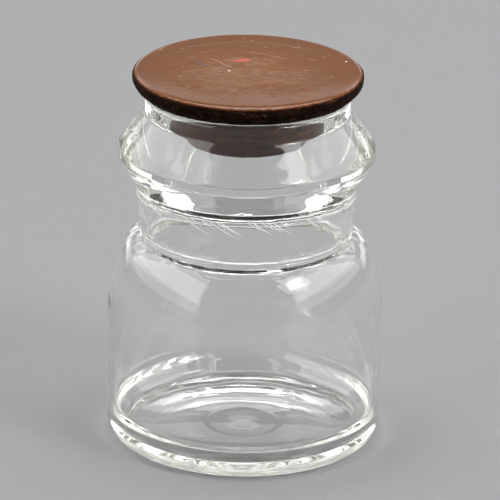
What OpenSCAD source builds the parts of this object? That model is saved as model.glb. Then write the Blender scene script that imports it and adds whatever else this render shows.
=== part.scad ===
// Stoppered specimen jar: a thin blown glass jar with a thick flared collar under its rim,
// closed by a painted wooden stopper, which is a tapered cap disc with a plug glued under it.
// Millimetres, +Z up, origin at the centre of the flat ring that the jar stands on.

/* [Jar body] */
// Outer diameter of the straight wall
body_d = 25; // [24.2:0.1:27]
// Height at which the straight wall turns into the shoulder
straight_h = 13.1; // [9:0.1:15]
// Thickness of the wall
body_wall = 0.65; // [0.5:0.05:1]
// Roundness of the shoulder: 2 is an ellipse, less is flatter
shoulder_power = 1.73; // [1.5:0.01:2]
// Outer radius of the heel, where the wall meets the base
heel_r = 1.5; // [1:0.1:2]

/* [Base] */
// Inner diameter of the ring that the jar stands on
ring_inner_d = 17.2; // [14:0.1:19]
// Rise of the base's hollow above the ring that the jar stands on
push_up = 0.2; // [0.1:0.05:0.4]
// Thickness of the base in the middle
base_t = 0.7; // [0.5:0.05:1]
// Diameter of the dished floor inside
floor_d = 20.8; // [19:0.1:21.4]
// Rise of the floor from its middle to its edge
floor_rise = 0.4; // [0.2:0.05:0.6]
// Height at which the inside of the wall starts to lean in to the floor
lean_h = 2.8; // [2.4:0.1:4]

/* [Neck] */
// Height of the groove between the shoulder and the neck
groove_h = 19.45; // [19:0.05:20]
// Diameter at the bottom of the groove
groove_d = 18.5; // [18.2:0.1:18.8]
// Diameter of the neck's lower edge
neck_low_d = 19.4; // [19.2:0.1:19.8]
// Diameter of the neck where the collar starts
neck_top_d = 20.2; // [20:0.1:20.8]
// Height at which the collar starts
neck_top_h = 24.2; // [23.5:0.1:24.6]
// Thickness of the neck's wall at the groove
neck_wall = 0.7; // [0.6:0.05:0.9]

/* [Collar and rim] */
// Largest diameter of the collar
collar_d = 23.3; // [22.6:0.1:24]
// Lower edge of the collar's widest band
collar_low_h = 26.9; // [26.4:0.1:27.2]
// Upper edge of the collar's widest band
collar_high_h = 27.8; // [27.5:0.1:28.4]
// Diameter of the rim above the collar
rim_d = 18.5; // [17.8:0.1:19.2]
// Height at which the rim starts
rim_low_h = 30.95; // [30.2:0.05:31.2]
// Height of the glass jar
jar_h = 32.6; // [32.2:0.1:34]
// Diameter of the mouth
mouth_d = 14.2; // [14.1:0.05:14.8]

/* [Stopper] */
// Largest diameter of the cap
cap_d = 21.1; // [20.4:0.1:22.5]
// Diameter of the flat part of the cap's top
cap_flat_d = 16; // [10:0.5:17]
// Drop of the cap's top from its flat part to its edge
cap_drop = 0.15; // [0.1:0.01:0.2]
// Diameter of the cap's underside
cap_low_d = 18.9; // [18:0.1:19.4]
// Thickness of the cap
cap_t = 2.25; // [2:0.05:3]
// Diameter of the plug
plug_d = 13.74; // [13:0.02:13.8]
// Length of the plug below the cap
plug_l = 4.5; // [2.5:0.1:5]
// Gap between the cap and the rim
seat_gap = 0.05; // [0.03:0.01:0.15]

/* [Hidden] */
$fn = 96;

arc_steps = 6;
shoulder_steps = 12;
base_steps = 6;
floor_steps = 8;

glass_color = [0.84, 0.90, 0.88, 0.35];
cap_color = [0.36, 0.18, 0.11];
plug_color = [0.16, 0.08, 0.05];

// Radii and heights of the outer surface
body_r = body_d / 2;
ring_inner_r = ring_inner_d / 2;
groove_r = groove_d / 2;
neck_low_r = neck_low_d / 2;
neck_top_r = neck_top_d / 2;
collar_r = collar_d / 2;
rim_r = rim_d / 2;
neck_low_h = groove_h + 0.55;

// Radii and heights of the inner surface
inner_r = body_r - body_wall;
floor_r = floor_d / 2;
floor_low_h = push_up + base_t;
floor_end_r = floor_r - 0.9;
throat_r = groove_r - neck_wall;
throat_h = groove_h - 0.75;
inner_neck_r = throat_r - 0.15;
inner_neck_h = neck_top_h - 0.8;
mouth_r = mouth_d / 2;
bore_low_r = mouth_r + 0.2;
bore_low_h = neck_top_h + 0.4;

// Rounding of the edges, which a flame has melted smooth
lean_fillet = 2.5;
floor_fillet = 0.8;
groove_fillet = 0.2;
neck_edge_fillet = 0.4;
crease_fillet = 0.5;
collar_low_fillet = 1;
collar_high_fillet = 0.8;
rim_base_fillet = 0.5;
rim_outer_fillet = 0.5;
rim_inner_fillet = 0.6;
bore_fillet = 0.6;
inner_neck_fillet = 0.6;
throat_fillet = 0.8;
throat_edge_r = throat_r + 1.1 * throat_fillet;

// Stopper
cap_r = cap_d / 2;
cap_low_r = cap_low_d / 2;
cap_low_h = jar_h + seat_gap;
cap_high_h = cap_low_h + cap_t;
cap_waist_h = cap_low_h + 0.4 * cap_t;
cap_waist_r = cap_r - 0.12;
cap_flat_r = cap_flat_d / 2;
cap_edge_h = cap_high_h - cap_drop;
cap_flat_fillet = 40;
cap_top_fillet = 0.55;
cap_side_fillet = 1.1;
cap_low_fillet = 0.15;
plug_r = plug_d / 2;
plug_low_h = cap_low_h - plug_l;
plug_edge_fillet = 0.35;

function unit(v) = v / norm(v);

// Arc that rounds corner p, between neighbours a and b, with radius r
function fillet(a, p, b, r) =
    let (
        u = unit(a - p),
        v = unit(b - p),
        half = acos(u * v) / 2,
        centre = p + unit(u + v) * r / sin(half),
        first = p + u * r / tan(half) - centre,
        start = atan2(first.y, first.x),
        turn = (cross(u, v) > 0 ? -1 : 1) * (180 - 2 * half)
    )
    [
        for (i = [0:arc_steps])
            let (angle = start + turn * i / arc_steps)
            centre + r * [cos(angle), sin(angle)]
    ];

function flat(corner) = [corner.x, corner.y];

// Path through corners [r, z, fillet radius]; a radius of 0 leaves a corner sharp
function rounded(corners) = [
    for (i = [0:len(corners) - 1])
        each corners[i].z == 0
            ? [flat(corners[i])]
            : fillet(flat(corners[i - 1]), flat(corners[i]), flat(corners[i + 1]), corners[i].z)
];

// Quarter of a superellipse, upright at low and level at high
function shoulder(low, high) = [
    for (i = [1:shoulder_steps - 1])
        let (angle = 90 * i / shoulder_steps, bend = 2 / shoulder_power)
        [
            high.x + (low.x - high.x) * pow(cos(angle), bend),
            low.y + (high.y - low.y) * pow(sin(angle), bend)
        ]
];

// The base's hollow, from the axis almost out to its ring
function hollow() = [
    for (i = [0:base_steps - 1])
        [ring_inner_r * i / base_steps, push_up * (1 - pow(i / base_steps, 2))]
];

function floor_h(r) = floor_low_h + floor_rise * pow(r / floor_r, 3);

// The dished floor, from the axis almost out to radius r
function dish(r) = [
    for (i = [0:floor_steps - 1])
        [r * i / floor_steps, floor_h(r * i / floor_steps)]
];

function backwards(path) = [for (i = [len(path) - 1:-1:0]) path[i]];

// Half section of the glass: up the outside, over the rim and down the inside
jar_outline = concat(
    hollow(),
    rounded([
        [ring_inner_r, 0, 0],
        [body_r, 0, heel_r],
        [body_r, straight_h, 0]
    ]),
    shoulder([body_r, straight_h], [neck_low_r, groove_h]),
    rounded([
        [neck_low_r, groove_h, 0],
        [groove_r, groove_h, groove_fillet],
        [neck_low_r, neck_low_h, neck_edge_fillet],
        [neck_top_r, neck_top_h, crease_fillet],
        [collar_r, collar_low_h, collar_low_fillet],
        [collar_r, collar_high_h, collar_high_fillet],
        [rim_r, rim_low_h, rim_base_fillet],
        [rim_r, jar_h, rim_outer_fillet],
        [mouth_r, jar_h, rim_inner_fillet],
        [bore_low_r, bore_low_h, bore_fillet],
        [inner_neck_r, inner_neck_h, inner_neck_fillet],
        [throat_r, throat_h, throat_fillet],
        [throat_edge_r, throat_h, 0]
    ]),
    backwards(shoulder([inner_r, straight_h], [throat_edge_r, throat_h])),
    rounded([
        [inner_r, straight_h, 0],
        [inner_r, lean_h, lean_fillet],
        [floor_r, floor_h(floor_r), floor_fillet],
        [floor_end_r, floor_h(floor_end_r), 0]
    ]),
    backwards(dish(floor_end_r))
);

module glass_jar() {
    color(glass_color)
        rotate_extrude()
            polygon(jar_outline);
}

module stopper_cap() {
    color(cap_color)
        rotate_extrude()
            polygon(rounded([
                [0, cap_low_h, 0],
                [cap_low_r, cap_low_h, cap_low_fillet],
                [cap_waist_r, cap_waist_h, cap_side_fillet],
                [cap_r, cap_edge_h, cap_top_fillet],
                [cap_flat_r, cap_high_h, cap_flat_fillet],
                [0, cap_high_h, 0]
            ]));
}

module stopper_plug() {
    color(plug_color)
        rotate_extrude()
            polygon(rounded([
                [0, plug_low_h, 0],
                [plug_r, plug_low_h, plug_edge_fillet],
                [plug_r, cap_low_h, 0],
                [0, cap_low_h, 0]
            ]));
}

glass_jar();
stopper_cap();
stopper_plug();
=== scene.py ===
"""Looks of the stoppered specimen jar: clear blown glass, a painted wooden cap and its dark plug.

The glass, the cap and the plug are turned from their half sections and then worked over: the blown
glass is uneven, the paint is brushed, and the cap's side is torn and porous. Two more pieces carry
the small marks: tool marks and seeds on the jar, and flecks and scratches on the cap's paint.
"""
import math
import random

import bpy
import numpy as np
from mathutils import Matrix, Vector, noise


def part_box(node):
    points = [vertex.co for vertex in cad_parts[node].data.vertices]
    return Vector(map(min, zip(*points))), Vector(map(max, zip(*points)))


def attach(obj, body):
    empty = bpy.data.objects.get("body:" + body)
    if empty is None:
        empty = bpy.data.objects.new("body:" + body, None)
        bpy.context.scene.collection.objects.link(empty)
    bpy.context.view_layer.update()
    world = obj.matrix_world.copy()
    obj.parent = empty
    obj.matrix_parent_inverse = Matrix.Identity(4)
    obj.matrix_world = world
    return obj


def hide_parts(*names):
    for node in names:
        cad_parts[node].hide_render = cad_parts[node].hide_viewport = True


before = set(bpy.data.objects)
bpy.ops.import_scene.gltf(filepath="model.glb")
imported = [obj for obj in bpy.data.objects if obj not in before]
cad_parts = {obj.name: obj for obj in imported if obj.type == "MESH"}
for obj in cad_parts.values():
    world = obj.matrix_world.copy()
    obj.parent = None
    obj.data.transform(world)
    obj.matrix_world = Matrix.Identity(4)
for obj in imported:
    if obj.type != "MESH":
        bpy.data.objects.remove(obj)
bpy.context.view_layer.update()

MM = 0.001

# ---------------------------------------------------------------- sizes, in millimetres

_, jar_high = (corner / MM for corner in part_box("glass_jar"))
cap_low, cap_high = (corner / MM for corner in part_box("stopper_cap"))
plug_low, plug_high = (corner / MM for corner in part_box("stopper_plug"))

BODY_R = jar_high.x
JAR_H = jar_high.z
STRAIGHT_H = 13.1
SHOULDER_POWER = 1.73
BODY_WALL = 0.65
HEEL_R = 1.5
RING_INNER_R = 8.6
PUSH_UP = 0.2
BASE_T = 0.7
FLOOR_R, FLOOR_RISE, FLOOR_POWER = 10.4, 0.4, 3
LEAN_H = 2.8
FLOOR_FILLET_R, LEAN_FILLET_R = 0.8, 2.5

GROOVE_R, GROOVE_H = 9.25, 19.45
NECK_LOW_R, NECK_LOW_H = 9.7, 20.0
NECK_FOOT_H = 19.8
NECK_TOP_R, NECK_TOP_H = 10.1, 24.2
COLLAR_R, COLLAR_LOW_H, COLLAR_HIGH_H = 11.65, 26.9, 27.8
RIM_R, RIM_LOW_H = 9.25, 30.95
MOUTH_R = 7.1
BORE_LOW_R, BORE_LOW_H = 7.3, 24.6
SHELF_H = BORE_LOW_H - 0.5
INNER_NECK_R, INNER_NECK_H = 8.4, 23.4
THROAT_R, THROAT_H = 8.55, 18.7
THROAT_FILLET = 0.8
THROAT_EDGE_R = THROAT_R + 1.1 * THROAT_FILLET
CREASE_H = NECK_TOP_H - 0.05

CAP_R = 10.55
CAP_LOW_R = 9.45
CAP_FLAT_R, CAP_DROP = 8.0, 0.15
CAP_LOW_H, CAP_HIGH_H = cap_low.z, cap_high.z
CAP_EDGE_H = CAP_HIGH_H - CAP_DROP
PLUG_R = plug_high.x
PLUG_LOW_H = plug_low.z

# How far each worked surface lies inside its smooth outline, so that its bumps stay in the frame
GLASS_INSET, CAP_INSET, PLUG_INSET = 0.022, 0.03, 0.035

# ---------------------------------------------------------------- outlines


def bell(x, middle, width):
    """1 at the middle, falling to 0 on both sides."""
    return math.exp(-(((x - middle) / width) ** 2))


def fillet(before, corner, after, radius, steps):
    """Points of the arc that rounds a corner."""
    u = (before - corner).normalized()
    v = (after - corner).normalized()
    half = u.angle(v) / 2
    centre = corner + (u + v).normalized() * (radius / math.sin(half))
    first = corner + u * (radius / math.tan(half)) - centre
    start = math.atan2(first.y, first.x)
    turn = (math.pi - 2 * half) * (-1 if u.cross(v) > 0 else 1)
    angles = [start + turn * i / steps for i in range(steps + 1)]
    return [centre + radius * Vector((math.cos(a), math.sin(a))) for a in angles]


def rounded(corners, steps=9):
    """A path through corners (r, z, fillet radius); a radius of 0 leaves a corner sharp."""
    points = [Vector(c[:2]) for c in corners]
    path = []
    for i, (r, z, radius) in enumerate(corners):
        if radius:
            path += fillet(points[i - 1], points[i], points[i + 1], radius, steps)
        else:
            path.append(points[i])
    return path


def shoulder(low, high, steps=30):
    """Quarter of a superellipse, upright at low and level at high, without its ends."""
    path = []
    for i in range(1, steps):
        angle = math.pi / 2 * i / steps
        out = math.cos(angle) ** (2 / SHOULDER_POWER)
        up = math.sin(angle) ** (2 / SHOULDER_POWER)
        path.append(Vector((high[0] + (low[0] - high[0]) * out, low[1] + (high[1] - low[1]) * up)))
    return path


def dished(reach, middle, rise, power, ripples, steps=44):
    """A dished face from the axis out to reach, with the faint rings left by the mould."""
    path = []
    for i in range(steps):
        r = reach * i / steps
        z = middle + rise * (r / reach) ** power
        for ring_r, width, depth in ripples:
            z += depth * bell(r, ring_r, width)
        path.append(Vector((r, z)))
    return path


def spaced(path, step):
    """The path with points added so that no stretch is longer than step."""
    out = [path[0]]
    for a, b in zip(path, path[1:]):
        parts = max(1, math.ceil((b - a).length / step))
        out += [a.lerp(b, k / parts) for k in range(1, parts + 1)]
    return out


def jar_outline():
    """Half section of the glass, from the axis under the base, up the outside and back inside."""
    outer_ripples = [(0, 0.7, -0.015), (1.5, 0.3, 0.015), (3.0, 0.35, -0.02), (3.7, 0.3, 0.01)]
    inner_ripples = [(0, 1.3, 0.03), (2.6, 0.8, -0.015), (5.2, 0.9, 0.01)]
    path = dished(RING_INNER_R, PUSH_UP, -PUSH_UP, 2, outer_ripples)
    path += rounded([(RING_INNER_R, 0, 0), (BODY_R, 0, HEEL_R), (BODY_R, STRAIGHT_H, 0)])
    path += shoulder((BODY_R, STRAIGHT_H), (NECK_LOW_R, GROOVE_H))
    path += rounded([
        (NECK_LOW_R, GROOVE_H, 0),
        (GROOVE_R, GROOVE_H, 0.2),
        (NECK_LOW_R, NECK_LOW_H, 0.4),
        (NECK_TOP_R, NECK_TOP_H, 0.5),
        (COLLAR_R, COLLAR_LOW_H, 1.0),
        (COLLAR_R, COLLAR_HIGH_H, 0.8),
        (RIM_R, RIM_LOW_H, 0.5),
        (RIM_R, JAR_H, 0.5),
        (MOUTH_R, JAR_H, 0.6),
        (BORE_LOW_R, BORE_LOW_H, 0.3),
        (INNER_NECK_R, INNER_NECK_H, 1.4),
        (THROAT_R, THROAT_H, THROAT_FILLET),
        (THROAT_EDGE_R, THROAT_H, 0),
    ])
    inner_r = BODY_R - BODY_WALL
    path += reversed(shoulder((inner_r, STRAIGHT_H), (THROAT_EDGE_R, THROAT_H)))
    floor = dished(FLOOR_R, PUSH_UP + BASE_T, FLOOR_RISE, FLOOR_POWER, inner_ripples)
    floor_end = next(i for i, p in enumerate(floor) if p.x > FLOOR_R - 0.9)
    path += rounded([
        (inner_r, STRAIGHT_H, 0),
        (inner_r, LEAN_H, LEAN_FILLET_R),
        (FLOOR_R, PUSH_UP + BASE_T + FLOOR_RISE, FLOOR_FILLET_R),
        (*floor[floor_end], 0),
    ])
    path += reversed(floor[:floor_end])
    return spaced(path, 0.35)


def cap_outline():
    """Half section of the cap: a disc whose side stays wide and then tucks in to the rim."""
    waist_h = CAP_LOW_H + 0.4 * (CAP_HIGH_H - CAP_LOW_H)
    path = rounded([
        (0, CAP_LOW_H, 0),
        (CAP_LOW_R, CAP_LOW_H, 0.15),
        (CAP_R - 0.12, waist_h, 1.1),
        (CAP_R, CAP_EDGE_H, 0.55),
        (CAP_FLAT_R, CAP_HIGH_H, 40),
        (0, CAP_HIGH_H, 0),
    ])
    return spaced(path, 0.1)


def plug_outline():
    path = rounded([
        (0, PLUG_LOW_H, 0), (PLUG_R, PLUG_LOW_H, 0.35), (PLUG_R, CAP_LOW_H, 0), (0, CAP_LOW_H, 0)
    ])
    return spaced(path, 0.15)


# ---------------------------------------------------------------- turning

ON_AXIS = 1e-6


def outline_normals(path):
    """Unit vectors square to the path, pointing away from the solid."""
    p = np.array(path)
    along = np.gradient(p, axis=0)
    out = np.stack([along[:, 1], -along[:, 0]], axis=1)
    return out / np.linalg.norm(out, axis=1)[:, None]


def turn(name, path, segments, relief):
    """A closed mesh turned from a path. relief(angle, r, z) is how far each point stands proud."""
    normals = outline_normals(path)
    verts, rings = [], []
    for (r, z), (nr, nz) in zip(path, normals):
        if r < ON_AXIS:
            rings.append([len(verts)])
            verts.append((0, 0, (z + nz * relief(0, 0, z)) * MM))
            continue
        rings.append(range(len(verts), len(verts) + segments))
        for k in range(segments):
            angle = 2 * math.pi * k / segments
            proud = relief(angle, r, z)
            out = (r + nr * proud) * MM
            verts.append((out * math.cos(angle), out * math.sin(angle), (z + nz * proud) * MM))
    faces = []
    for low, high in zip(rings, rings[1:]):
        for k in range(segments):
            after = (k + 1) % segments
            if len(low) == 1:
                faces.append((low[0], high[after], high[k]))
            elif len(high) == 1:
                faces.append((low[k], low[after], high[0]))
            else:
                faces.append((low[k], low[after], high[after], high[k]))
    return new_piece(name, verts, faces)


def new_piece(name, verts, faces):
    mesh = bpy.data.meshes.new(name)
    mesh.from_pydata(verts, [], faces)
    mesh.update()
    mesh.polygons.foreach_set("use_smooth", [True] * len(mesh.polygons))
    piece = bpy.data.objects.new(name, mesh)
    bpy.context.scene.collection.objects.link(piece)
    return piece


def fade(x, low, high):
    """0 below low, 1 above high, smooth between."""
    t = min(1, max(0, (x - low) / (high - low)))
    return t * t * (3 - 2 * t)


def around(angle, r, z):
    """The point at an angle and a radius round the axis."""
    return Vector((r * math.cos(angle), r * math.sin(angle), z))


def wave(point, scale, shift=(0, 0, 0)):
    """Smooth noise at a point, from about -1 to 1; a larger scale makes shorter waves."""
    return noise.noise(point * scale + Vector(shift))


def glass_relief(angle, r, z):
    """Blown glass: long soft waves, livelier in the neck, at its foot and on the shelf inside it."""
    x, y = r * math.cos(angle), r * math.sin(angle)
    in_neck = fade(z, 18, 20) * (1 - fade(z, 31, 32))
    long_waves = (0.014 + 0.016 * in_neck) * wave(Vector((x, y, z * 1.6)), 0.16)
    short_waves = (0.003 + 0.012 * in_neck) * wave(Vector((x, y, z * 2.2)), 0.5, (7, 3, 1))
    dimples = 0.050 * bell(z, NECK_FOOT_H, 1.4) * wave(Vector((x, y, z * 1.3)), 1.1, (2, 9, 4))
    wavy = long_waves + short_waves + dimples
    if r < NECK_LOW_R:
        wavy += 0.040 * bell(z, SHELF_H, 0.6) * wave(Vector((x, y, z)), 1.5)
    above_base = fade(r, 0.5, 4) * fade(z, 0.5, 7)
    return above_base * wavy - GLASS_INSET


def cap_relief(angle, r, z):
    """A slightly domed, brushed top whose edge rolls over at the front, and a torn, porous side."""
    here = around(angle, r, z)
    side = 1 - fade(z, CAP_EDGE_H - 0.22, CAP_EDGE_H - 0.07)
    front = 0.5 - 0.5 * math.sin(angle)
    across = Vector((here.x + here.y * 0.1, here.y * 1.3 - here.x * 0.15, 0))
    bend = Vector((wave(across, 0.9), wave(across, 0.9, (4, 4, 4)), 0))
    middle = 1 - fade(r, 7.6, 9.0)
    brush = middle * (0.010 * wave(across, 1, bend) + 0.005 * wave(across, 2.6, bend))
    dome = 0.012 - 0.06 * min(1, r / 8.5) ** 2
    tilt = (0.09 - 0.18 * front) * fade(r, 7.9, 10.3)
    roll = -0.13 * front * (1 - side) * fade(r, 9.5, 10.4)
    swell = 0.012 * wave(here, 0.22) + dome + tilt + roll
    torn = 0.035 * wave(here, 1.1) + 0.030 * wave(here, 3.4)
    pores = 0.10 * fade(wave(here, 4.6, (5, 5, 5)), 0.22, 0.5)
    return (1 - side) * brush + side * (torn - pores - CAP_INSET) + swell - CAP_INSET


def plug_relief(angle, r, z):
    here = around(angle, r, z)
    return 0.03 * wave(here, 0.9) + 0.03 * wave(here, 3.1) - PLUG_INSET


# ---------------------------------------------------------------- marks on the neck and on the cap


def neck_radius(z):
    share = (z - NECK_LOW_H) / (NECK_TOP_H - NECK_LOW_H)
    return NECK_LOW_R + share * (NECK_TOP_R - NECK_LOW_R)


def tube_faces(rings, sides):
    """Faces that join rings of vertices into a closed tube."""
    faces = []
    last = (rings - 1) * sides
    for low in range(0, last, sides):
        high = low + sides
        for k in range(sides):
            after = (k + 1) % sides
            faces.append((low + k, low + after, high + after, high + k))
    faces.append(tuple(range(sides))[::-1])
    faces.append(tuple(range(last, last + sides)))
    return faces


def thread(points, radii, sides=6):
    """Closed tapered tube along points, as vertices and faces."""
    verts = []
    for i, (p, radius) in enumerate(zip(points, radii)):
        ahead = points[min(i + 1, len(points) - 1)] - points[max(i - 1, 0)]
        u = ahead.orthogonal().normalized()
        v = ahead.normalized().cross(u)
        for k in range(sides):
            a = 2 * math.pi * k / sides
            verts.append(p + radius * (math.cos(a) * u + math.sin(a) * v))
    return verts, tube_faces(len(points), sides)


def joined(parts):
    """The vertices and faces of several parts, as those of one."""
    verts, faces = [], []
    for add, add_faces in parts:
        faces += [tuple(len(verts) + i for i in face) for face in add_faces]
        verts += add
    return verts, faces


def neck_hair(angle, drop, lean, thick, steps=8):
    """A tapering scratch from the crease under the collar, leaning as it runs down the neck."""
    points, radii = [], []
    for i in range(steps + 1):
        t = i / steps
        z = NECK_TOP_H - 0.35 - drop * t
        turned = angle + lean * drop / NECK_TOP_R * (t + 0.3 * t * t)
        points.append(around(turned, neck_radius(z), z) * MM)
        radii.append((0.012 + thick * (1 - t * t)) * MM)
    return thread(points, radii)


def bead(angle, r, z, size, rings=5):
    """A tiny bead of glass, as long as it is thick."""
    points, radii = [], []
    for i in range(rings):
        a = math.pi * (i + 0.5) / rings
        points.append(around(angle - size * math.cos(a) / r, r, z) * MM)
        radii.append(size * math.sin(a) * MM)
    return thread(points, radii)


def spread(rng, start, end, count, stray):
    """Angles from start to end, given in degrees, each strayed by a random part of a step."""
    for i in range(count):
        yield math.radians(start + (end - start) * (i + stray * rng.random()) / count)


def neck_marks():
    """Hairs and beads that a forming tool left under the collar, and seeds in the body's glass."""
    rng = random.Random(4)
    hairs = [(-150, -140, 4), (-126, -118, 3), (-114, -101, 4), (-89, -71, 6), (-60, -50, 4),
             (20, 70, 9), (110, 160, 9)]
    beads = [(-98, -88, 6), (-75, -48, 22), (60, 75, 8)]
    made = []
    for start, end, count in hairs:
        for angle in spread(rng, start, end, count, 0.7):
            drop = 0.5 + 1.3 * rng.random()
            lean = 0.9 + 0.7 * rng.random()
            thick = 0.026 + 0.022 * rng.random()
            made.append(neck_hair(angle, drop, lean, thick))
    for start, end, count in beads:
        for angle in spread(rng, start, end, count, 0.5):
            size = 0.05 + 0.05 * rng.random()
            made.append(bead(angle, neck_radius(CREASE_H), CREASE_H, size))
    wall = [p for p in jar_outline() if p.x > NECK_LOW_R and 3 < p.y < GROOVE_H]
    for _ in range(36):
        spot = rng.choice(wall)
        angle = 2 * math.pi * rng.random()
        size = 0.02 + 0.03 * rng.random() ** 2
        made.append(bead(angle, spot.x - 0.03, spot.y, size))
    return new_piece("jar_neck_marks", *joined(made))


def cap_height(x, y):
    """Height of the cap's painted top at a point."""
    r = math.hypot(x, y)
    top = [p for p in reversed(cap_outline()) if p.y > CAP_EDGE_H - 0.05]
    z = np.interp(r, [p.x for p in top], [p.y for p in top])
    return z + cap_relief(math.atan2(y, x), r, z)


def paint_stroke(points, widths, thick=0.008, sunk=0.02):
    """A raised fleck on the cap's top: a ribbon through points, with a width at each."""
    verts = []
    for i, (p, width) in enumerate(zip(points, widths)):
        ahead = (points[min(i + 1, len(points) - 1)] - points[max(i - 1, 0)]).normalized()
        half = Vector((-ahead.y, ahead.x)) * width / 2
        section = [(p + half, -sunk), (p + half, 0), (p, thick), (p - half, 0), (p - half, -sunk)]
        for corner, lift in section:
            verts.append(Vector((*corner, cap_height(*corner) + lift)) * MM)
    return verts, tube_faces(len(points), len(verts) // len(points))


STROKE_STEPS = 9


def wandering(rng, start, end, wander):
    """Points from start to end that stray sideways."""
    a, b = Vector(start), Vector(end)
    side = Vector((a.y - b.y, b.x - a.x)).normalized()
    phase = rng.random() * 6
    path = []
    for i in range(STROKE_STEPS + 1):
        t = i / STROKE_STEPS
        stray = wander * math.sin(phase + 4.5 * t) * math.sin(math.pi * t)
        path.append(a.lerp(b, t) + side * stray)
    return path


def even(width):
    """The widths of a stroke that is equally wide all along."""
    return [width] * (STROKE_STEPS + 1)


FLECK_COLOURS = {
    "red": (0.40, 0.045, 0.025),
    "blue": (0.03, 0.03, 0.075),
    "pale": (0.34, 0.19, 0.12),
    "white": (0.80, 0.78, 0.74),
    "dark": (0.035, 0.012, 0.006),
}


def fleck_strokes():
    """Colour, points and widths of each stray mark in the paint."""
    rng = random.Random(9)
    red_widths = [0.08 + 0.80 * fade(i / STROKE_STEPS, 0, 0.8) for i in range(STROKE_STEPS)] + [0.44]
    ring_angles = [0.3 + 0.55 * i for i in range(STROKE_STEPS + 1)]
    ring = [Vector((-8.3 + 0.42 * math.cos(a), -5.2 + 0.40 * math.sin(a))) for a in ring_angles]
    strokes = [
        ("red", wandering(rng, (-1.8, 2.1), (0.15, 2.5), 0.05), red_widths),
        ("blue", wandering(rng, (-4.9, 2.2), (-3.6, 0.5), 0.25), even(0.17)),
        ("dark", ring, even(0.08)),
    ]
    long_scratches = [
        ((-3.5, 2.7), (-1.4, 0.3), 0.2), ((0.2, 4.8), (3.6, 2.8), 0.06),
        ((4.0, 6.4), (4.7, 6.4), 0.02), ((5.4, 2.9), (6.2, 2.8), 0.02),
        ((-8.1, 5.2), (-7.6, 6.0), 0.05), ((-8.2, 5.3), (-7.7, 5.2), 0.02),
    ]
    for start, end, wander in long_scratches:
        strokes.append(("pale", wandering(rng, start, end, wander), even(0.07)))
    for _ in range(26):
        r, a = 9.6 * math.sqrt(rng.random()), 2 * math.pi * rng.random()
        x, y = r * math.cos(a), r * math.sin(a)
        reach = 0.12 + 0.5 * rng.random() ** 3
        end = (x + reach, y + 0.5 * reach * (rng.random() - 0.3))
        speck = wandering(rng, (x, y), end, 0.03)
        strokes.append(("pale", speck, even(0.05 + 0.04 * rng.random())))
    for x, y in ((8.8, 2.7), (-1.7, -0.7)):
        dot = [Vector((x - 0.1, y)), Vector((x, y)), Vector((x + 0.1, y))]
        strokes.append(("white", dot, [0.12, 0.24, 0.12]))
    return strokes


def cap_flecks():
    """Stray marks in the paint: a red fleck, a blue fibre, a chipped ring, scratches and specks."""
    strokes = fleck_strokes()
    made = [paint_stroke(points, widths) for _, points, widths in strokes]
    piece = new_piece("stopper_paint_flecks", *joined(made))
    for colour in FLECK_COLOURS.values():
        piece.data.materials.append(fleck_paint(colour))
    slots = list(FLECK_COLOURS)
    indices = []
    for (colour, _, _), (_, faces) in zip(strokes, made):
        indices += [slots.index(colour)] * len(faces)
    piece.data.polygons.foreach_set("material_index", indices)
    return piece


# ---------------------------------------------------------------- materials


def new_material(name):
    material = bpy.data.materials.new(name)
    material.use_nodes = True
    tree = material.node_tree
    return material, tree, tree.nodes["Principled BSDF"]


def node(tree, kind, values=None, **settings):
    made = tree.nodes.new(kind)
    for key, value in settings.items():
        setattr(made, key, value)
    for key, value in (values or {}).items():
        if isinstance(value, bpy.types.NodeSocket):
            tree.links.new(value, made.inputs[key])
        else:
            made.inputs[key].default_value = value
    return made


def math_node(tree, operation, a, b):
    return node(tree, "ShaderNodeMath", {0: a, 1: b}, operation=operation).outputs[0]


def mapped(tree, scale, rotation=(0, 0, 0), location=(0, 0, 0)):
    """Object coordinates, stretched and turned."""
    coords = node(tree, "ShaderNodeTexCoord").outputs["Object"]
    values = {"Vector": coords, "Scale": scale, "Rotation": rotation, "Location": location}
    return node(tree, "ShaderNodeMapping", values).outputs[0]


def distance_node(tree, location=(0, 0, 0)):
    """Distance from the axis, once the coordinates are moved by location."""
    flat = mapped(tree, (1, 1, 0), location=location)
    return node(tree, "ShaderNodeVectorMath", {0: flat}, operation="LENGTH").outputs["Value"]


def noise_node(tree, vector, scale, detail=4, roughness=0.5, distortion=0):
    values = {
        "Vector": vector, "Scale": scale, "Detail": detail,
        "Roughness": roughness, "Distortion": distortion,
    }
    return node(tree, "ShaderNodeTexNoise", values).outputs["Fac"]


def ramp(tree, value, stops):
    made = node(tree, "ShaderNodeValToRGB", {"Fac": value})
    elements = made.color_ramp.elements
    while len(elements) < len(stops):
        elements.new(0.5)
    for element, (place, colour) in zip(elements, stops):
        element.position = place
        element.color = (*colour, 1)
    return made.outputs["Color"]


def window(tree, value, low, high):
    """0 below low, 1 above high."""
    values = {"Value": value, "From Min": low, "From Max": high}
    return node(tree, "ShaderNodeMapRange", values, interpolation_type="SMOOTHSTEP").outputs[0]


def mix(tree, factor, a, b):
    made = node(tree, "ShaderNodeMix", data_type="RGBA")
    for key, value in (("Factor", factor), ("A", a), ("B", b)):
        socket = next(s for s in made.inputs if s.name == key and (key == "Factor" or s.type == "RGBA"))
        if isinstance(value, bpy.types.NodeSocket):
            tree.links.new(value, socket)
        else:
            socket.default_value = (*value, 1) if key != "Factor" else value
    return next(s for s in made.outputs if s.type == "RGBA")


def mix_values(tree, factor, a, b):
    values = {"Value": factor, "To Min": a, "To Max": b}
    return node(tree, "ShaderNodeMapRange", values).outputs[0]


def bump(tree, height, strength, distance, under=None):
    """A normal roughened by a height, on top of the one under it."""
    values = {"Height": height, "Strength": strength, "Distance": distance}
    if under is not None:
        values["Normal"] = under
    return node(tree, "ShaderNodeBump", values).outputs[0]


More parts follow.
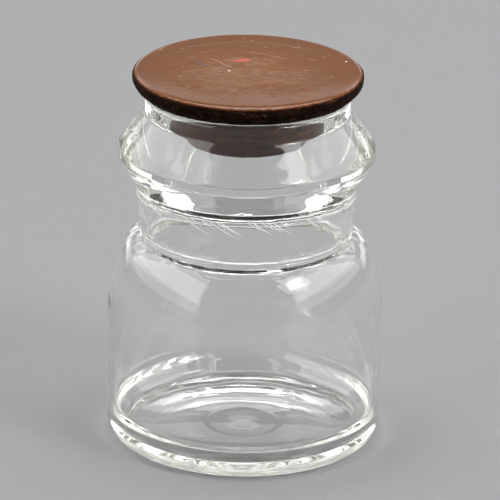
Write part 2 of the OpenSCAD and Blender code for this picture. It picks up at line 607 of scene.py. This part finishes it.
def glass_material():
    material, tree, shader = new_material("clear_glass")
    shader.inputs["Transmission Weight"].default_value = 1
    shader.inputs["IOR"].default_value = 1.51
    shader.inputs["Base Color"].default_value = (0.993, 0.996, 0.992, 1)
    wipes = noise_node(tree, mapped(tree, (60, 60, 400), rotation=(0.3, 0.1, 0)), 1, 3)
    rough = window(tree, wipes, 0.60, 0.85)
    tree.links.new(math_node(tree, "MULTIPLY", rough, 0.03), shader.inputs["Roughness"])
    depth = node(tree, "ShaderNodeVolumeAbsorption", {"Color": (0.91, 0.92, 0.84, 1), "Density": 34})
    tree.links.new(depth.outputs[0], tree.nodes["Material Output"].inputs["Volume"])
    return material


def mark_material():
    """Ground, whitish glass of the tool marks."""
    material, tree, shader = new_material("tool_mark_glass")
    grain = noise_node(tree, mapped(tree, (3000, 3000, 3000)), 1, 2)
    colour = ramp(tree, grain, [(0.35, (0.80, 0.80, 0.77)), (0.65, (0.93, 0.93, 0.91))])
    tree.links.new(colour, shader.inputs["Base Color"])
    tree.links.new(mix_values(tree, grain, 0.15, 0.45), shader.inputs["Roughness"])
    return material


def fleck_paint(base):
    material, tree, shader = new_material("fleck_paint")
    grain = noise_node(tree, mapped(tree, (4000, 4000, 4000)), 1, 3)
    dark = tuple(0.7 * c for c in base)
    tree.links.new(ramp(tree, grain, [(0.35, dark), (0.6, base)]), shader.inputs["Base Color"])
    tree.links.new(mix_values(tree, grain, 0.35, 0.6), shader.inputs["Roughness"])
    return material


def paint_colour(tree, from_axis):
    """Brown paint, blotchy in the middle, with painted shade that darkens it towards the edge."""
    blotches = noise_node(tree, mapped(tree, (260, 380, 260)), 1, 4, 0.6)
    paint = ramp(tree, blotches, [
        (0.34, (0.114, 0.036, 0.006)), (0.50, (0.130, 0.042, 0.007)), (0.66, (0.146, 0.049, 0.009)),
    ])
    # painted shade: the paint is darkened towards the cap's edge to stand in for the shade there
    painted_edge_shade = window(tree, from_axis, 2.5 * MM, 9.5 * MM)
    return mix(tree, painted_edge_shade, paint, (0.108, 0.033, 0.005))


def torn_colour(tree, pores):
    """Dark, porous wood of the cap's side, with a few paler scratches."""
    wood = ramp(tree, pores, [
        (0.38, (0.004, 0.0014, 0.0008)), (0.54, (0.012, 0.004, 0.0018)),
        (0.64, (0.034, 0.013, 0.005)), (0.74, (0.120, 0.055, 0.026)),
    ])
    scratches = noise_node(tree, mapped(tree, (2400, 2400, 800), (0.5, 0.9, 0.2)), 1, 3, 0.7, 1.5)
    return mix(tree, window(tree, scratches, 0.64, 0.73), wood, (0.13, 0.062, 0.030))


def paint_reach(tree):
    """Height above the ground, shifted so that the paint ends in a ragged line, lower in front."""
    coords = node(tree, "ShaderNodeTexCoord").outputs["Object"]
    parts = node(tree, "ShaderNodeSeparateXYZ", {"Vector": coords})
    ragged = noise_node(tree, mapped(tree, (1600, 1600, 1600)), 1, 3, 0.6)
    lowered = math_node(tree, "MULTIPLY", math_node(tree, "SUBTRACT", ragged, 0.5), 0.1 * MM)
    height = math_node(tree, "ADD", parts.outputs["Z"], lowered)
    front = node(tree, "ShaderNodeMapRange", {
        "Value": parts.outputs["Y"], "From Min": -CAP_R * MM, "From Max": CAP_R * MM,
        "To Min": 0.15 * MM, "To Max": -0.06 * MM,
    })
    return math_node(tree, "ADD", height, front.outputs[0])


def brushed_ripples(tree):
    """Ripples left by the brush, in patches that fade out round a point in the cap's front half."""
    ripples = noise_node(tree, mapped(tree, (1050, 1250, 1050), (0, 0, math.radians(-9))), 1, 2, 0.5, 1.2)
    patches = window(tree, noise_node(tree, mapped(tree, (170, 260, 170)), 1, 2), 0.30, 0.65)
    from_middle = distance_node(tree, location=(0, 3 * MM, 0))
    kept = math_node(tree, "SUBTRACT", 1.0, window(tree, from_middle, 2.0 * MM, 9.0 * MM))
    return math_node(tree, "MULTIPLY", math_node(tree, "MULTIPLY", ripples, patches), kept)


def painted_wood():
    """Satin brown paint on top, glossier at its edge, over rough dark wood on the side."""
    material, tree, shader = new_material("painted_wood")
    shader.inputs["Specular IOR Level"].default_value = 0.05
    shader.inputs["Coat IOR"].default_value = 1.8
    shader.inputs["Coat Roughness"].default_value = 0.09
    from_axis = distance_node(tree)
    height = paint_reach(tree)
    top = window(tree, height, (CAP_EDGE_H - 0.10) * MM, (CAP_EDGE_H - 0.07) * MM)
    above_lip = window(tree, height, (CAP_EDGE_H - 0.20) * MM, (CAP_EDGE_H - 0.12) * MM)
    lip = math_node(tree, "SUBTRACT", above_lip, top)
    pores = noise_node(tree, mapped(tree, (1300, 1300, 1700)), 1, 5, 0.65)
    side = mix(tree, lip, torn_colour(tree, pores), (0.150, 0.045, 0.012))
    tree.links.new(mix(tree, top, side, paint_colour(tree, from_axis)), shader.inputs["Base Color"])
    tree.links.new(mix_values(tree, top, 0.75, 0.60), shader.inputs["Roughness"])
    gloss = mix_values(tree, window(tree, from_axis, 9.85 * MM, 10.05 * MM), 0.38, 1.0)
    tree.links.new(math_node(tree, "MULTIPLY", top, gloss), shader.inputs["Coat Weight"])
    grit = noise_node(tree, mapped(tree, (4200, 4200, 4200)), 1, 3, 0.6)
    rippled = bump(tree, brushed_ripples(tree), 0.8, 0.13 * MM)
    gritty = bump(tree, grit, 0.40, 0.03 * MM, rippled)
    rough_side = math_node(tree, "MULTIPLY", pores, math_node(tree, "SUBTRACT", 1.0, top))
    tree.links.new(bump(tree, rough_side, 0.5, 0.12 * MM, gritty), shader.inputs["Normal"])
    tree.links.new(gritty, shader.inputs["Coat Normal"])
    return material


def bare_wood():
    """Dark stained wood of the plug, with redder lines round it."""
    material, tree, shader = new_material("stained_wood")
    shader.inputs["Specular IOR Level"].default_value = 0.15
    pores = noise_node(tree, mapped(tree, (900, 900, 2000)), 1, 5, 0.65)
    lines = noise_node(tree, mapped(tree, (260, 260, 2600)), 1, 4, 0.6)
    both = math_node(tree, "ADD", math_node(tree, "MULTIPLY", pores, 0.5),
                     math_node(tree, "MULTIPLY", lines, 0.5))
    colour = ramp(tree, both, [(0.40, (0.018, 0.005, 0.002)), (0.54, (0.050, 0.014, 0.004)),
                               (0.68, (0.150, 0.048, 0.016))])
    tree.links.new(colour, shader.inputs["Base Color"])
    tree.links.new(mix_values(tree, both, 0.45, 0.75), shader.inputs["Roughness"])
    tree.links.new(bump(tree, both, 0.4, 0.08 * MM), shader.inputs["Normal"])
    return material


# ---------------------------------------------------------------- pieces

glass = turn("jar_glass", jar_outline(), 232, glass_relief)
glass.data.materials.append(glass_material())
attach(glass, "jar")
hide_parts("glass_jar")

marks = neck_marks()
marks.data.materials.append(mark_material())
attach(marks, "jar")

cap = turn("stopper_painted_cap", cap_outline(), 400, cap_relief)
cap.data.materials.append(painted_wood())
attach(cap, "stopper")
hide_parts("stopper_cap")

flecks = cap_flecks()
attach(flecks, "stopper")

plug = turn("stopper_wooden_plug", plug_outline(), 240, plug_relief)
plug.data.materials.append(bare_wood())
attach(plug, "stopper")
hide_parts("stopper_plug")

# ---------------------------------------------------------------- floor, light and camera


def floor():
    half = 2.4
    corners = [(-half, -half, 0), (half, -half, 0), (half, half, 0), (-half, half, 0)]
    made = new_piece("studio_floor", corners, [(0, 1, 2, 3)])
    material, tree, shader = new_material("pale_floor")
    shader.inputs["Base Color"].default_value = (0.195, 0.195, 0.198, 1)
    shader.inputs["Roughness"].default_value = 0.9
    made.data.materials.append(material)


def soft_box(name, place, target, width, height, radiance):
    """A rectangular light at place, facing target."""
    light = bpy.data.lights.new(name, "AREA")
    light.shape = "RECTANGLE"
    light.size, light.size_y = width, height
    light.energy = radiance * math.pi * width * height
    lamp = bpy.data.objects.new(name, light)
    bpy.context.scene.collection.objects.link(lamp)
    lamp.location = place
    lamp.rotation_euler = (Vector(target) - Vector(place)).to_track_quat("-Z", "Y").to_euler()


def studio():
    """A dim room that pales to the horizon, lit from both sides, from behind and from above.

    Each side has a big box with a low strip under it. Behind the jar are three strips, at low, middle
    and high places. A bulb with a soft glow round it stands in front at the right.
    """
    soft_box("left_box", (-0.66, -0.08, 0.66), (0, -0.08, 0.66), 1.40, 0.80, 2.5)
    soft_box("right_box", (0.66, -0.04, 0.66), (0, -0.04, 0.66), 1.20, 0.80, 2.4)
    soft_box("left_low", (-0.66, -0.08, 0.19), (0, -0.08, 0.19), 1.40, 0.14, 0.8)
    soft_box("right_low", (0.66, -0.04, 0.19), (0, -0.04, 0.19), 1.20, 0.14, 0.8)
    soft_box("back_high", (0, 0.46, 0.89), (0, 0, 0), 1.10, 0.24, 3.8)
    soft_box("back_low", (0, 1.20, 0.18), (0, 0, 0.18), 2.60, 0.22, 0.9)
    soft_box("back_mid", (0, 1.12, 0.70), (0, 0, 0), 1.60, 0.34, 1.3)
    soft_box("top_box", (0, 0.04, 1.05), (0, 0, 0), 0.80, 0.44, 5.0)
    soft_box("right_bulb", (0.50, -0.36, 0.55), (0, 0, 0), 0.13, 0.13, 24)
    soft_box("right_glow", (0.52, -0.375, 0.572), (0, 0, 0), 0.32, 0.32, 4)
    world = bpy.data.worlds.new("studio")
    world.use_nodes = True
    bpy.context.scene.world = world
    tree = world.node_tree
    up = node(tree, "ShaderNodeSeparateXYZ", {
        "Vector": node(tree, "ShaderNodeTexCoord").outputs["Generated"]
    })
    sky = ramp(tree, up.outputs["Z"], [(0.0, (0.40, 0.40, 0.41)), (0.10, (0.36, 0.36, 0.37)),
                                       (0.40, (0.33, 0.33, 0.335)), (0.80, (0.28, 0.28, 0.285))])
    tree.links.new(sky, tree.nodes["Background"].inputs["Color"])


def camera():
    """The jar seen from 23 degrees above, a little off centre and leaning slightly."""
    distance, elevation, roll = 0.400, math.radians(23.4), math.radians(0.89)
    lens, sensor = 311.76, 36
    aim_right, aim_up = math.radians(0.063), math.radians(2.340)
    place = Vector((0, -distance * math.cos(elevation), distance * math.sin(elevation)))
    pitch, yaw = elevation - aim_up, aim_right
    ahead = Vector((math.sin(yaw) * math.cos(pitch), math.cos(yaw) * math.cos(pitch), -math.sin(pitch)))
    right = ahead.cross(Vector((0, 0, 1))).normalized()
    up = right.cross(ahead)
    side = right * math.cos(roll) + up * math.sin(roll)
    top = up * math.cos(roll) - right * math.sin(roll)
    data = bpy.data.cameras.new("camera")
    data.lens, data.sensor_width = lens, sensor
    data.clip_start, data.clip_end = 0.01, 10
    made = bpy.data.objects.new("camera", data)
    bpy.context.scene.collection.objects.link(made)
    made.matrix_world = Matrix([(side[i], top[i], -ahead[i], place[i]) for i in range(3)] + [(0, 0, 0, 1)])
    bpy.context.scene.camera = made


floor()
studio()
camera()
bpy.context.scene.view_settings.view_transform = "Standard"
bpy.context.scene.cycles.blur_glossy = 0
bpy.context.scene.cycles.max_bounces = 40
bpy.context.scene.cycles.glossy_bounces = 32
bpy.context.scene.cycles.transmission_bounces = 32
